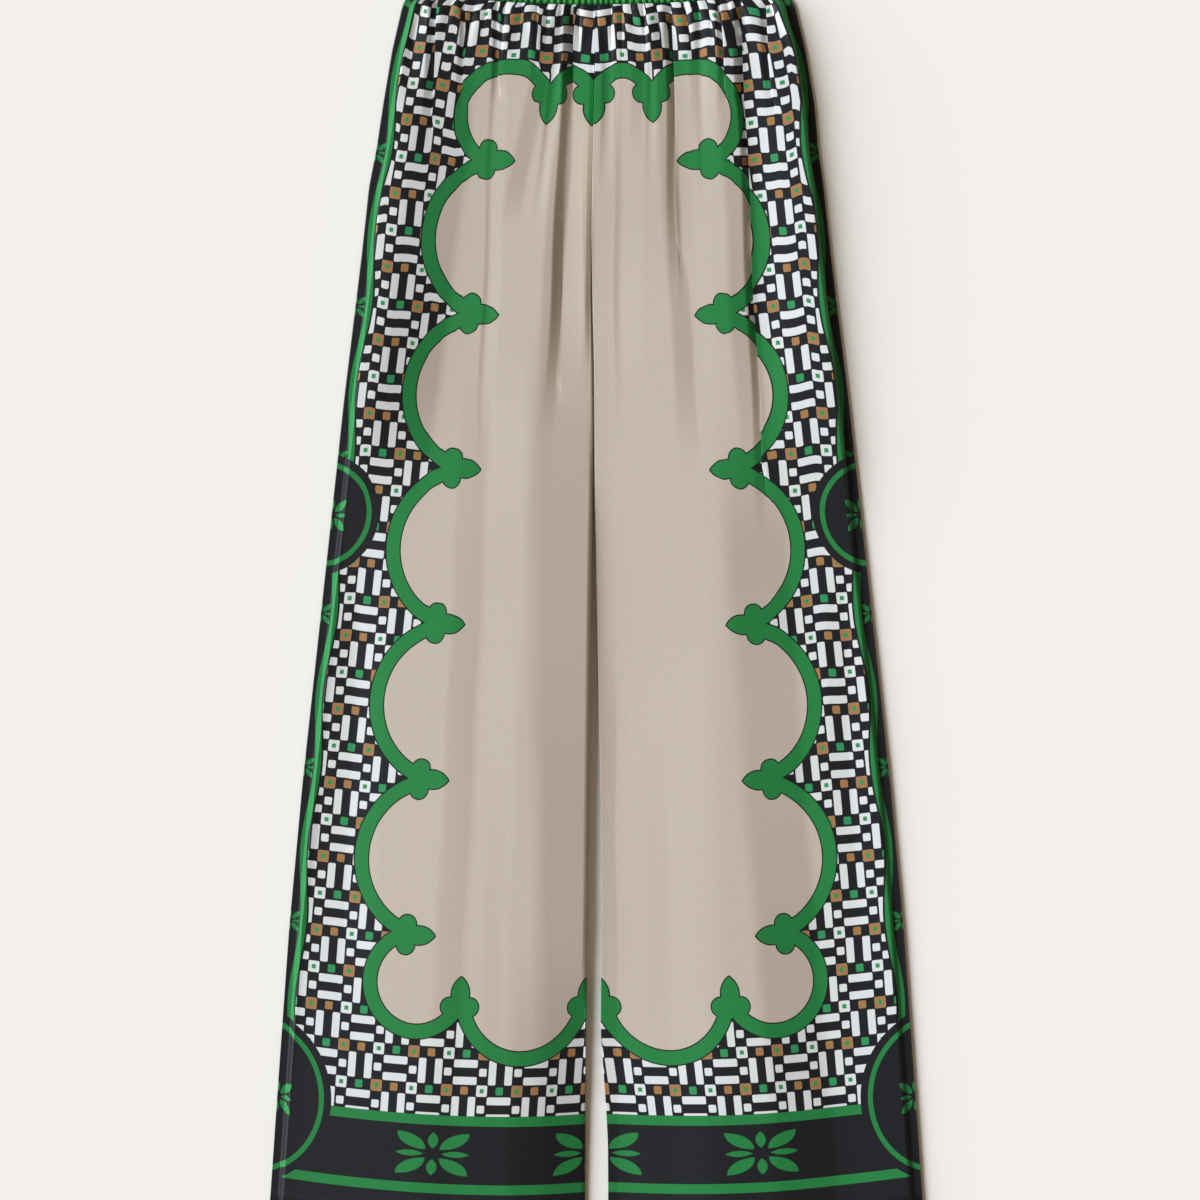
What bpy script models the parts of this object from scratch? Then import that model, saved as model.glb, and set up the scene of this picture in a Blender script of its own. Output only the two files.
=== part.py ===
"""Palazzo pants laid flat on their back: four leg panels gathered into an elastic waistband.

Metres, +Z up. The pants lie on the plane z = 0 with the waist towards +Y, and the origin is under the
middle of their outline. "down" is a distance down the garment from its highest point, "across" one to
the right of its middle, seen from above. The wearer's left leg is on the right.
"""

import math
from collections import namedtuple

import bmesh
import bpy

# --- driving dimensions ---------------------------------------------------------------------------

LENGTH = 1.111  # from the waistband's top at the sides to the lowest point of the hems
CLOTH = 0.0012  # wall of every layer
SEAM_GAP = 0.0003  # between two pieces that are sewn together
BAND_HEIGHT = 0.0350  # height of the waistband
WAIST_DIP = 0.0118  # the waist hangs this much lower at the middle than at the sides
HEM_SIDE = 1.0944  # down to the hem at the side seams
HEM_DROP = LENGTH - HEM_SIDE  # the hem's lowest point is this far below that
HEM_LOWEST = 0.78  # where it is, as a share of the leg's width from the side seam

# The outline, a row for each section: half its width, and how far its middle lies to the right.
Section = namedtuple("Section", "down half_width middle")
SECTIONS = (
    Section(0.000, 0.1600, 0.0020),  # top of the waistband
    Section(0.035, 0.1635, 0.0020),  # waist seam
    Section(0.046, 0.1710, 0.0020),  # gathers spread out
    Section(0.086, 0.1805, 0.0022),
    Section(0.134, 0.1885, 0.0022),
    Section(0.172, 0.1930, 0.0010),
    Section(0.205, 0.1985, 0.0000),  # hip
    Section(0.265, 0.2050, 0.0000),
    Section(0.392, 0.2205, 0.0000),
    Section(0.517, 0.2340, 0.0000),
    Section(0.724, 0.2565, 0.0000),
    Section(0.854, 0.2685, 0.0000),
    Section(1.002, 0.2790, 0.0000),
    Section(1.111, 0.2865, 0.0000),
)

# The line between the legs: the centre seam down to the crotch, and below it the gap between them.
# "sunk" is the share of the front's height by which this line lies lower than the cloth beside it.
Centre = namedtuple("Centre", "down gap across sunk")
CENTRES = (
    Centre(0.035, SEAM_GAP, 0.0006, 0.30),
    Centre(0.115, SEAM_GAP, 0.0006, 0.30),
    Centre(0.200, SEAM_GAP, -0.0014, 0.45),
    Centre(0.250, SEAM_GAP, -0.0018, 0.90),
    Centre(0.305, 0.0010, -0.0020, 1.00),  # crotch
    Centre(0.480, 0.0022, -0.0018, 1.00),
    Centre(0.532, 0.0048, -0.0018, 1.00),
    Centre(0.746, 0.0105, -0.0016, 1.00),
    Centre(0.882, 0.0134, -0.0022, 1.00),
    Centre(0.974, 0.0158, -0.0014, 1.00),
    Centre(1.092, 0.0194, 0.0004, 1.00),
    Centre(1.111, 0.0194, 0.0004, 1.00),
)

# How far the front of each leg stands off the back where no fold lowers it.
Loft = namedtuple("Loft", "down right_leg left_leg")
LOFTS = (
    Loft(0.035, 0.0105, 0.0105),
    Loft(0.100, 0.0130, 0.0125),
    Loft(0.220, 0.0150, 0.0125),
    Loft(0.600, 0.0150, 0.0115),
    Loft(1.000, 0.0130, 0.0105),
    Loft(1.111, 0.0110, 0.0090),
)
EDGE_FLAT = 0.0055  # every seam is pressed flat over this width
EDGE_ROLL = 0.018  # beside that, the front comes down over this width at the side seams
INNER_ROLL = 0.014  # and over this one at the centre seam and the inner legs
WAIST_PINCH = 0.35  # the waist seam holds the front down to this share of its height
WAIST_SPRING = 0.016  # below the seam, it springs up over this length

# The folds, each a trough. It runs from one point to another, with its own width to each side, and ends
# over a share of its length, called "fade".
Fold = namedtuple("Fold", "leg start end across_start across_end left right depth fade")
RIGHT_LEG, LEFT_LEG = -1, 1
WAIST = BAND_HEIGHT  # folds that start here are the gathers
FOLDS = (
    Fold(RIGHT_LEG, WAIST, 1.300, -0.1720, -0.3000, 0.040, 0.130, 0.0080, 0.05),  # low along the side seam
    Fold(RIGHT_LEG, WAIST, 0.150, -0.1560, -0.1660, 0.008, 0.010, 0.0035, 0.80),
    Fold(RIGHT_LEG, WAIST, 0.185, -0.1367, -0.1480, 0.009, 0.012, 0.0045, 0.80),
    Fold(RIGHT_LEG, WAIST, 0.240, -0.1175, -0.1300, 0.011, 0.012, 0.0050, 0.80),
    Fold(RIGHT_LEG, 0.100, 0.440, -0.1180, -0.1220, 0.040, 0.050, 0.0070, 0.40),  # at the hip
    Fold(RIGHT_LEG, WAIST, 0.160, -0.1005, -0.1030, 0.008, 0.008, 0.0040, 0.80),
    Fold(RIGHT_LEG, 0.200, 1.150, -0.0905, -0.1300, 0.026, 0.050, 0.0050, 0.45),  # long one down the leg
    Fold(RIGHT_LEG, WAIST, 0.170, -0.0843, -0.0860, 0.008, 0.008, 0.0045, 0.80),
    Fold(RIGHT_LEG, WAIST, 0.150, -0.0694, -0.0740, 0.007, 0.007, 0.0035, 0.80),
    Fold(RIGHT_LEG, WAIST, 0.300, -0.0555, -0.0800, 0.016, 0.014, 0.0060, 0.60),  # slanting one
    Fold(RIGHT_LEG, WAIST, 0.170, -0.0440, -0.0460, 0.007, 0.007, 0.0035, 0.80),
    Fold(RIGHT_LEG, WAIST, 0.430, -0.0265, -0.0400, 0.014, 0.009, 0.0050, 0.50),  # pleat by the centre
    Fold(RIGHT_LEG, WAIST, 0.430, -0.0265, -0.0400, 0.018, 0.022, 0.0055, 0.50),  # and its shoulders
    Fold(RIGHT_LEG, WAIST, 0.240, -0.0090, -0.0100, 0.007, 0.006, 0.0025, 0.70),
    Fold(RIGHT_LEG, 0.250, 1.300, -0.0020, -0.0060, 0.054, 0.020, 0.0090, 0.05),  # falls away inwards
    Fold(LEFT_LEG, 0.200, 1.300, 0.0000, 0.0040, 0.010, 0.032, 0.0050, 0.05),  # falls away inwards
    Fold(LEFT_LEG, WAIST, 0.215, 0.0120, 0.0125, 0.007, 0.007, 0.0030, 0.70),
    Fold(LEFT_LEG, WAIST, 0.230, 0.0370, 0.0400, 0.012, 0.009, 0.0050, 0.70),
    Fold(LEFT_LEG, WAIST, 0.170, 0.0490, 0.0500, 0.007, 0.007, 0.0035, 0.80),
    Fold(LEFT_LEG, WAIST, 0.380, 0.0625, 0.0800, 0.013, 0.009, 0.0045, 0.50),  # pleat by the centre
    Fold(LEFT_LEG, WAIST, 0.520, 0.0625, 0.0880, 0.026, 0.040, 0.0055, 0.35),  # and its shoulders
    Fold(LEFT_LEG, WAIST, 0.190, 0.0885, 0.0905, 0.009, 0.008, 0.0040, 0.80),
    Fold(LEFT_LEG, WAIST, 0.150, 0.1045, 0.1060, 0.008, 0.008, 0.0040, 0.80),
    Fold(LEFT_LEG, WAIST, 0.530, 0.1255, 0.1460, 0.012, 0.009, 0.0040, 0.35),  # deep one at the hip
    Fold(LEFT_LEG, WAIST, 0.560, 0.1255, 0.1480, 0.034, 0.050, 0.0055, 0.35),  # and its shoulders
    Fold(LEFT_LEG, WAIST, 0.160, 0.1415, 0.1480, 0.008, 0.008, 0.0035, 0.80),
    Fold(LEFT_LEG, WAIST, 0.140, 0.1530, 0.1600, 0.008, 0.008, 0.0030, 0.80),
    Fold(LEFT_LEG, WAIST, 0.700, 0.1720, 0.2150, 0.030, 0.100, 0.0050, 0.40),  # low along the side seam
    Fold(LEFT_LEG, 0.400, 1.300, 0.1560, 0.2250, 0.062, 0.200, 0.0085, 0.05),  # falls away outwards
)
FOLD_BEND = 1.2  # over 1, a fold runs straight down at first and leans later
FOLD_BEGIN = 0.12  # a fold that starts below the waist deepens over this length
FOLD_ROUND = 0.35  # share of a fold's width over which its wall turns, at the top and at the bottom
FLOOR_ROUND = 0.0008  # the deepest folds end in a curve of about this depth

# The waistband, gathered all round by its elastic.
GATHER_SPREAD = 0.14  # how unevenly gathers stand, as a share of a gather's width
BAND_GATHERS = 60  # across the waistband's front
BAND_GATHER_DEPTH = 0.0014
BAND_CROWN = 0.0010  # the band swells this much between its edges
BAND_HOLLOW = 0.0008  # between the two layers of the waistband

# How finely the pieces are divided. The rows of a panel stand closest where it is gathered.
PANEL_COLUMNS = 72
PANEL_ROWS = 18
ROW_CROWDING = 1.8
BACK_COLUMNS = 12
BAND_COLUMNS_PER_GATHER = 4
BAND_ROWS = 2
BAND_BACK_COLUMNS = 20
TURN_COLUMNS = 3  # round each side of the waistband

COLLECTION = "palazzo_pants"
# Colour of the printed silk and of the plain silk, and how both take light.
PRINT_COLOUR = (0.58, 0.49, 0.38)
BAND_COLOUR = (0.03, 0.27, 0.07)
SILK_ROUGHNESS = 0.45
SILK_SHEEN = 0.3


# --- rules of the cut -----------------------------------------------------------------------------


def smooth(share):
    """0 to 1 with no slope at either end."""
    share = min(1.0, max(0.0, share))
    return share * share * (3 - 2 * share)


def read(table, column, down):
    """A column of a table at any distance down, between its rows."""
    if down <= table[0].down:
        return getattr(table[0], column)
    for above, below in zip(table, table[1:]):
        if down <= below.down:
            share = (down - above.down) / (below.down - above.down)
            start = getattr(above, column)
            return start + (getattr(below, column) - start) * share
    return getattr(table[-1], column)


def side_edge(leg, down):
    """Across to the side seam."""
    return read(SECTIONS, "middle", down) + leg * read(SECTIONS, "half_width", down)


def inner_edge(leg, down):
    """Across to the centre seam, and below the crotch to the leg's inner edge."""
    return read(CENTRES, "across", down) + leg * read(CENTRES, "gap", down) / 2


def waist_dip(across):
    """How much lower the waist hangs here than at the sides."""
    half = read(SECTIONS, "half_width", BAND_HEIGHT)
    return WAIST_DIP * max(0.0, 1 - (across / half) ** 2)


def hem(share):
    """Down to the hem, at a share of the leg's width from the side seam."""
    return HEM_SIDE + HEM_DROP * (1 - ((HEM_LOWEST - share) / HEM_LOWEST) ** 2)


def uneven(share, count):
    """Moves evenly spaced gathers along the waist, so that some stand close and some apart."""
    shift = math.sin(3 * math.tau * share) + 0.6 * math.sin(5 * math.tau * share)
    return share + GATHER_SPREAD / count * shift * math.sin(math.pi * share)


def wall(share):
    """A fold's wall, from its edge at 0 to its middle at 1: an even slope between two curves."""
    share = min(1.0, max(0.0, share))
    slope = 1 / (1 - FOLD_ROUND)
    if share < FOLD_ROUND:
        return slope * share**2 / (2 * FOLD_ROUND)
    if share > 1 - FOLD_ROUND:
        return 1 - slope * (1 - share) ** 2 / (2 * FOLD_ROUND)
    return slope * (share - FOLD_ROUND / 2)


def fold_depth(fold, across, down):
    """How deep one fold is at a point."""
    along = min(1.0, max(0.0, (down - fold.start) / (fold.end - fold.start)))
    middle = fold.across_start + (fold.across_end - fold.across_start) * along**FOLD_BEND
    away = across - middle
    depth = fold.depth * wall(1 - abs(away) / (fold.right if away > 0 else fold.left))
    if fold.start > WAIST:
        depth *= smooth((down - fold.start) / FOLD_BEGIN)
    return depth * smooth((1 - along) / fold.fade)


def front_height(leg, across, down, below_seam):
    """How far the front's lower side lies above the back."""
    inner = inner_edge(leg, down)
    from_side = abs(across - side_edge(leg, down))
    from_inner = abs(across - inner)
    rise = smooth((from_inner - EDGE_FLAT) / INNER_ROLL)
    folded = inner + leg * max(from_inner, EDGE_FLAT)
    height = read(LOFTS, "right_leg" if leg == RIGHT_LEG else "left_leg", down)
    height -= sum(fold_depth(fold, folded, down) for fold in FOLDS if fold.leg == leg)
    height = (height + math.hypot(height, FLOOR_ROUND)) / 2
    height *= smooth((from_side - EDGE_FLAT) / EDGE_ROLL)
    height *= WAIST_PINCH + (1 - WAIST_PINCH) * smooth(below_seam / WAIST_SPRING)
    return height * (1 - read(CENTRES, "sunk", down) * (1 - rise))


# --- making the pieces ----------------------------------------------------------------------------


def material(name, colour):
    made = bpy.data.materials.new(name)
    made.use_nodes = True
    shader = made.node_tree.nodes["Principled BSDF"]
    shader.inputs["Base Color"].default_value = (*colour, 1)
    shader.inputs["Roughness"].default_value = SILK_ROUGHNESS
    shader.inputs["Sheen Weight"].default_value = SILK_SHEEN
    return made


def cloth(name, mesh, colour, offset):
    """A named piece of cloth from a mesh that has no thickness yet."""
    piece = bpy.data.objects.new(name, mesh)
    bpy.data.collections[COLLECTION].objects.link(piece)
    mesh.materials.append(material(name, colour))
    mesh.shade_smooth()
    wall = piece.modifiers.new("Wall", "SOLIDIFY")
    wall.thickness = CLOTH
    wall.offset = offset
    return piece


def sheet(columns, rows, place):
    """A grid whose points place(column share, row number) puts where they belong."""
    grid = bmesh.new()
    bmesh.ops.create_grid(grid, x_segments=columns, y_segments=rows, size=0.5)
    for point in grid.verts:
        point.co = place(point.co.x + 0.5, round((0.5 - point.co.y) * rows))
    return finished(grid)


def finished(shape):
    bmesh.ops.recalc_face_normals(shape, faces=shape.faces)
    highest = max(shape.faces, key=lambda face: face.calc_center_median().z)
    if highest.normal.z < 0:
        bmesh.ops.reverse_faces(shape, faces=shape.faces)
    mesh = bpy.data.meshes.new("cloth")
    shape.to_mesh(mesh)
    shape.free()
    return mesh


def panel(name, leg, columns, height):
    """A leg panel from the waist seam to the hem. height gives its lower side above z = 0."""

    def place(share, row):
        seam = BAND_HEIGHT + SEAM_GAP
        seam += waist_dip(side_edge(leg, seam) * (1 - share))
        down = seam + (hem(share) - seam) * (row / PANEL_ROWS) ** ROW_CROWDING
        across = side_edge(leg, down) * (1 - share) + inner_edge(leg, down) * share
        return across, LENGTH / 2 - down, height(across, down, down - seam)

    return cloth(name, sheet(columns, PANEL_ROWS, place), PRINT_COLOUR, offset=1)


def front(name, leg):
    def height(across, down, below_seam):
        return CLOTH + SEAM_GAP + front_height(leg, across, down, below_seam)

    return panel(name, leg, PANEL_COLUMNS, height)


def back(name, leg):
    return panel(name, leg, BACK_COLUMNS, lambda *_: 0.0)


def band_section(down):
    """One turn of the waistband, as points (across, height): its front, a side, its back, a side."""
    half = read(SECTIONS, "half_width", down)
    middle = read(SECTIONS, "middle", down)
    low = CLOTH / 2
    turn = (CLOTH + BAND_HOLLOW) / 2
    flat = half - CLOTH / 2 - turn
    crown = BAND_CROWN * math.sin(math.pi * down / BAND_HEIGHT)
    points = []
    count = BAND_GATHERS * BAND_COLUMNS_PER_GATHER
    for i in range(count + 1):
        share = uneven(i / count, BAND_GATHERS)
        ridge = BAND_GATHER_DEPTH * (1 - math.cos(math.tau * i / BAND_COLUMNS_PER_GATHER)) / 2
        edge = smooth(min(share, 1 - share) * BAND_GATHERS / 2)
        points.append((flat * (2 * share - 1), low + 2 * turn + (ridge + crown) * edge))
    for side in (1, -1):
        for i in range(1, TURN_COLUMNS + 1):
            angle = math.pi * i / (TURN_COLUMNS + 1)
            rise = turn * math.cos(angle) * side
            points.append((side * (flat + turn * math.sin(angle)), low + turn + rise))
        if side == 1:
            for i in range(BAND_BACK_COLUMNS + 1):
                points.append((flat * (1 - 2 * i / BAND_BACK_COLUMNS), low))
    return [(middle + across, height) for across, height in points]


def waistband(name):
    """The ring that holds the elastic, pressed flat, its front over its back."""
    ring = bmesh.new()
    turns = []
    for row in range(BAND_ROWS + 1):
        down = BAND_HEIGHT * row / BAND_ROWS
        turns.append(
            [
                ring.verts.new((across, LENGTH / 2 - down - waist_dip(across), height))
                for across, height in band_section(down)
            ]
        )
    for upper, lower in zip(turns, turns[1:]):
        for i in range(len(upper)):
            ring.faces.new((upper[i - 1], upper[i], lower[i], lower[i - 1]))
    return cloth(name, finished(ring), BAND_COLOUR, offset=0)


def main():
    for old in list(bpy.data.objects):
        bpy.data.objects.remove(old)
    collection = bpy.data.collections.new(COLLECTION)
    bpy.context.scene.collection.children.link(collection)
    for leg, side in ((RIGHT_LEG, "right"), (LEFT_LEG, "left")):
        front(f"front_{side}", leg)
        back(f"back_{side}", leg)
    waistband("waistband")


main()
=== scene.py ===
"""The look of the palazzo pants: printed silk twill laid flat, drawn into a plain green waistband.

Metres in the frame's own axes: the pants lie on z = 0 with the waist towards +Y. "down" is a distance
down the garment from its highest point, "across" one to the right of its middle, seen from above.
"""

import math
from collections import namedtuple

import bmesh
import bpy
import numpy as np
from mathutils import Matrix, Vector


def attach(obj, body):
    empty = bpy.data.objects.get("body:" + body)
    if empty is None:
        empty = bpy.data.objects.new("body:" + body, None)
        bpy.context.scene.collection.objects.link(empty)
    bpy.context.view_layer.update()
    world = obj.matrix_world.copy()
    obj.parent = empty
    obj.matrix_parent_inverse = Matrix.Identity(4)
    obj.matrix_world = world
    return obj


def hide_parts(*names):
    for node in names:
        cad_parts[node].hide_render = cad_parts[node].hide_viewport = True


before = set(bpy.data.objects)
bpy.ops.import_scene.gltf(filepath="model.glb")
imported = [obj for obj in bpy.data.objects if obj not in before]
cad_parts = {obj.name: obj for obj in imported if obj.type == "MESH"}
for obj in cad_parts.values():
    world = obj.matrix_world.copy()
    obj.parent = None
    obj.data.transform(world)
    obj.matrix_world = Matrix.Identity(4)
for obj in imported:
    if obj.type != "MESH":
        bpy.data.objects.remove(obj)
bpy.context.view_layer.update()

# --- the cut and the large folds ------------------------------------------------------------------

LENGTH = 1.111
CLOTH = 0.0012  # thickness of the solids' walls
SEAM_GAP = 0.0003
BAND_HEIGHT = 0.0350
WAIST_DIP = 0.0118  # the waist's middle lies lower than its ends by this much
HEM_SIDE = 1.0944  # down to a hem's outer corner
HEM_DROP = LENGTH - HEM_SIDE
HEM_LOWEST = 0.78  # a hem's lowest point, as a share of the way in from its outer corner

Section = namedtuple("Section", "down half_width middle")
SECTIONS = (
    Section(0.000, 0.1600, 0.0020),  # top of the waistband
    Section(0.035, 0.1635, 0.0020),  # waist seam
    Section(0.046, 0.1710, 0.0020),  # gathers spread out
    Section(0.086, 0.1805, 0.0022),
    Section(0.134, 0.1885, 0.0022),
    Section(0.172, 0.1930, 0.0010),
    Section(0.205, 0.1985, 0.0000),  # hip
    Section(0.265, 0.2050, 0.0000),
    Section(0.392, 0.2205, 0.0000),
    Section(0.517, 0.2340, 0.0000),
    Section(0.724, 0.2565, 0.0000),
    Section(0.854, 0.2685, 0.0000),
    Section(1.002, 0.2790, 0.0000),
    Section(1.111, 0.2865, 0.0000),
)

# Where the legs meet: the gap between them, its middle, and how far the right leg's front is sunk there, as
# a share of its height.
Centre = namedtuple("Centre", "down gap across sunk")
CENTRES = (
    Centre(0.035, SEAM_GAP, 0.0006, 0.05),
    Centre(0.115, SEAM_GAP, -0.0008, 0.10),
    Centre(0.200, SEAM_GAP, -0.0030, 0.42),
    Centre(0.250, 0.0004, -0.0036, 0.58),
    Centre(0.305, 0.0018, -0.0034, 0.50),  # crotch
    Centre(0.360, 0.0026, -0.0024, 0.10),
    Centre(0.480, 0.0030, -0.0018, 0.00),
    Centre(0.532, 0.0048, -0.0016, 0.00),
    Centre(0.746, 0.0115, -0.0010, 0.00),
    Centre(0.830, 0.0130, -0.0011, 0.00),
    Centre(0.882, 0.0137, -0.0016, 0.00),
    Centre(0.943, 0.0142, -0.0023, 0.00),
    Centre(1.005, 0.0188, -0.0003, 0.00),
    Centre(1.040, 0.0209, 0.0007, 0.00),
    Centre(1.111, 0.0212, 0.0008, 0.00),
)

# How far each front stands up where no fold lowers it.
Loft = namedtuple("Loft", "down right_leg left_leg")
LOFTS = (
    Loft(0.035, 0.0105, 0.0105),
    Loft(0.100, 0.0148, 0.0140),
    Loft(0.220, 0.0155, 0.0142),
    Loft(0.400, 0.0152, 0.0108),
    Loft(0.600, 0.0158, 0.0092),
    Loft(1.000, 0.0158, 0.0086),
    Loft(1.111, 0.0138, 0.0078),
)
EDGE_ROLL = 0.005  # beside a side seam's edge, it rises over this width
INNER_ROLL = 0.0055  # and the right leg's front sinks at the centre over this width
WAIST_PINCH = 0.45  # at the waist seam, this share of the height is left
WAIST_SPRING = 0.016  # and all of it this far below

# The folds, each a trough. It runs from one point to another, with its own width to each side, and ends
# over a share of its length, called "fade". One whose end lies past the hem runs off the cloth.
Fold = namedtuple("Fold", "leg start end across_start across_end left right depth fade")
RIGHT_LEG, LEFT_LEG = -1, 1  # the wearer's, so the right leg lies where across is under 0
WAIST = BAND_HEIGHT
FOLDS = (
    Fold(RIGHT_LEG, 0.400, 1.300, -0.2100, -0.3000, 0.0400, 0.1300, 0.0054, 0.05),  # low by the side seam
    Fold(RIGHT_LEG, WAIST, 0.150, -0.1560, -0.1660, 0.0090, 0.0120, 0.0030, 0.80),
    Fold(RIGHT_LEG, WAIST, 0.185, -0.1367, -0.1480, 0.0100, 0.0015, 0.0044, 0.80),
    Fold(RIGHT_LEG, 0.045, 0.520, -0.0960, -0.1530, 0.0640, 0.3000, 0.0096, 0.35),  # at the hip
    Fold(RIGHT_LEG, WAIST, 0.160, -0.1130, -0.1190, 0.0080, 0.0015, 0.0036, 0.80),
    Fold(RIGHT_LEG, WAIST, 0.480, -0.0860, -0.1020, 0.0050, 0.0120, 0.0006, 0.40),
    Fold(RIGHT_LEG, 0.330, 1.150, -0.0905, -0.1300, 0.0280, 0.0400, 0.0017, 0.45),  # long one down the leg
    Fold(RIGHT_LEG, WAIST, 0.145, -0.0830, -0.0860, 0.0075, 0.0015, 0.0036, 0.80),
    Fold(RIGHT_LEG, WAIST, 0.120, -0.0480, -0.0530, 0.0060, 0.0015, 0.0030, 0.80),
    Fold(RIGHT_LEG, WAIST, 0.250, -0.0298, -0.0705, 0.0180, 0.0900, 0.0021, 0.25),  # slanting one
    Fold(RIGHT_LEG, WAIST, 0.260, -0.0270, -0.0575, 0.0050, 0.0080, 0.0007, 0.50),
    Fold(RIGHT_LEG, 0.080, 0.470, -0.0200, -0.0390, 0.0190, 0.0900, 0.0020, 0.40),
    Fold(RIGHT_LEG, WAIST, 0.420, -0.0178, -0.0376, 0.0115, 0.0015, 0.0084, 0.40),  # pleat by the centre
    Fold(RIGHT_LEG, WAIST, 0.420, -0.0125, -0.0323, 0.0060, 0.0900, 0.0014, 0.35),  # and its foot
    Fold(RIGHT_LEG, 0.100, 0.400, -0.0036, -0.0046, 0.0080, 0.0300, 0.0009, 0.30),  # beside the centre seam
    Fold(RIGHT_LEG, 0.300, 1.300, 0.0145, 0.0300, 0.0800, 0.0200, 0.0088, 0.05),  # falls away inwards
    Fold(RIGHT_LEG, 0.840, 1.300, 0.0100, 0.0000, 0.0900, 0.0200, 0.0080, 0.05),
    Fold(LEFT_LEG, 0.200, 1.300, 0.0000, 0.0040, 0.0100, 0.1150, 0.0050, 0.05),  # low along the inner edge
    Fold(LEFT_LEG, WAIST, 0.230, 0.0108, 0.0088, 0.0060, 0.0100, 0.0010, 0.50),
    Fold(LEFT_LEG, 0.580, 1.300, 0.0170, 0.0215, 0.0150, 0.0900, 0.0014, 0.05),
    Fold(LEFT_LEG, WAIST, 0.440, 0.0215, 0.0225, 0.0070, 0.0200, 0.0006, 0.40),
    Fold(LEFT_LEG, WAIST, 0.195, 0.0402, 0.0402, 0.0110, 0.0300, 0.0011, 0.50),
    Fold(LEFT_LEG, WAIST, 0.230, 0.0478, 0.0470, 0.0035, 0.0060, 0.0005, 0.60),
    Fold(LEFT_LEG, WAIST, 0.470, 0.0660, 0.0939, 0.0200, 0.0900, 0.0024, 0.30),
    Fold(LEFT_LEG, WAIST, 0.310, 0.0665, 0.0715, 0.0095, 0.0015, 0.0046, 0.60),  # pleat by the centre
    Fold(LEFT_LEG, WAIST, 0.330, 0.0700, 0.0800, 0.0070, 0.0600, 0.0014, 0.40),  # and its foot
    Fold(LEFT_LEG, WAIST, 0.190, 0.0872, 0.0885, 0.0065, 0.0100, 0.0009, 0.80),
    Fold(LEFT_LEG, WAIST, 0.240, 0.0925, 0.0925, 0.0060, 0.0120, 0.0006, 0.60),
    Fold(LEFT_LEG, WAIST, 0.150, 0.1095, 0.1120, 0.0075, 0.0015, 0.0036, 0.80),
    Fold(LEFT_LEG, WAIST, 0.520, 0.1321, 0.1594, 0.0320, 0.0600, 0.0035, 0.35),
    Fold(LEFT_LEG, WAIST, 0.520, 0.1267, 0.1494, 0.0090, 0.0015, 0.0050, 0.45),  # pleat at the hip
    Fold(LEFT_LEG, WAIST, 0.520, 0.1328, 0.1555, 0.0060, 0.0400, 0.0010, 0.45),  # and its foot
    Fold(LEFT_LEG, WAIST, 0.160, 0.1480, 0.1560, 0.0080, 0.0015, 0.0038, 0.80),
    Fold(LEFT_LEG, 0.420, 1.300, 0.1650, 0.2350, 0.0620, 0.2000, 0.0064, 0.05),  # falls away outwards
)
# Finer ones, which only the cloth here has.
CREASES = (
    Fold(RIGHT_LEG, 0.500, 1.000, -0.2050, -0.2280, 0.0200, 0.0300, 0.0010, 0.40),
    Fold(RIGHT_LEG, 0.700, 1.180, -0.0780, -0.0900, 0.0180, 0.0300, 0.0004, 0.40),
    Fold(LEFT_LEG, 0.500, 0.980, 0.2150, 0.2350, 0.0200, 0.0300, 0.0010, 0.40),
    Fold(LEFT_LEG, 0.640, 1.180, 0.0600, 0.0680, 0.0220, 0.0300, 0.0003, 0.40),
)
FOLD_BEND = 1.2  # over 1 bends a fold more and more towards its end
FOLD_BEGIN = 0.12  # a fold that starts below the waist deepens over this length
FOLD_TOP = 0.20  # share of a fold's width over which its wall turns down at the top
FOLD_FEET = ((0.006, 0.012, 0.030), (0.60, 0.10, 0.12))  # and turns level at the bottom, by its width
FOLD_SWELL = 0.18  # a fold is now deeper and now shallower by this share
FOLD_SWAY = 0.0008  # and lies now to the left and now to the right by this much
Wave = namedtuple("Wave", "rate start")
SWELL_WAVE = Wave(13, 700)  # radians for each metre down, and for each metre that folds stand apart
SWAY_WAVE = Wave(35, 900)
PLEAT_WIDTH = 0.004  # a fold whose right side is narrower is a pleat: that side leans over the trough
PLEAT_LEAN = 1.8  # by this many times its width
PLEAT_OPEN = 0.020  # at its end, that side widens by this much
PLEAT_REST = 0.014  # and the cloth beyond gives way over this width
PLEAT_FADE = 0.25  # it opens where less than this share of its depth is left
INNER_LEAN = 0.0018  # the left leg's edge leans over the seam
FLOOR_ROUND = 0.0008  # the deepest folds end in a curve of about this depth

PUCKERS = 16  # small gathers along each front's waist seam
PUCKER_DEPTH = 0.0034  # of the highest
PUCKER_LENGTH = 0.064  # of the longest
PUCKER_CROWN = 0.8  # under 1 makes them broad, with sharp valleys between
PUCKER_SHORTEST = 0.4  # as a share of that
PUCKER_LOWEST = 0.5  # as a share of the highest
PUCKER_SHIFT = 0.7  # radians by which they stand aside from an even row
PUCKER_LEAN = 0.0016  # their ridges lean to the left by this much
PUCKER_DRAG = 0.0022  # they shift the cloth down and up by this much
PUCKER_DRAG_LENGTH = 0.110  # as far down as this

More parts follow.
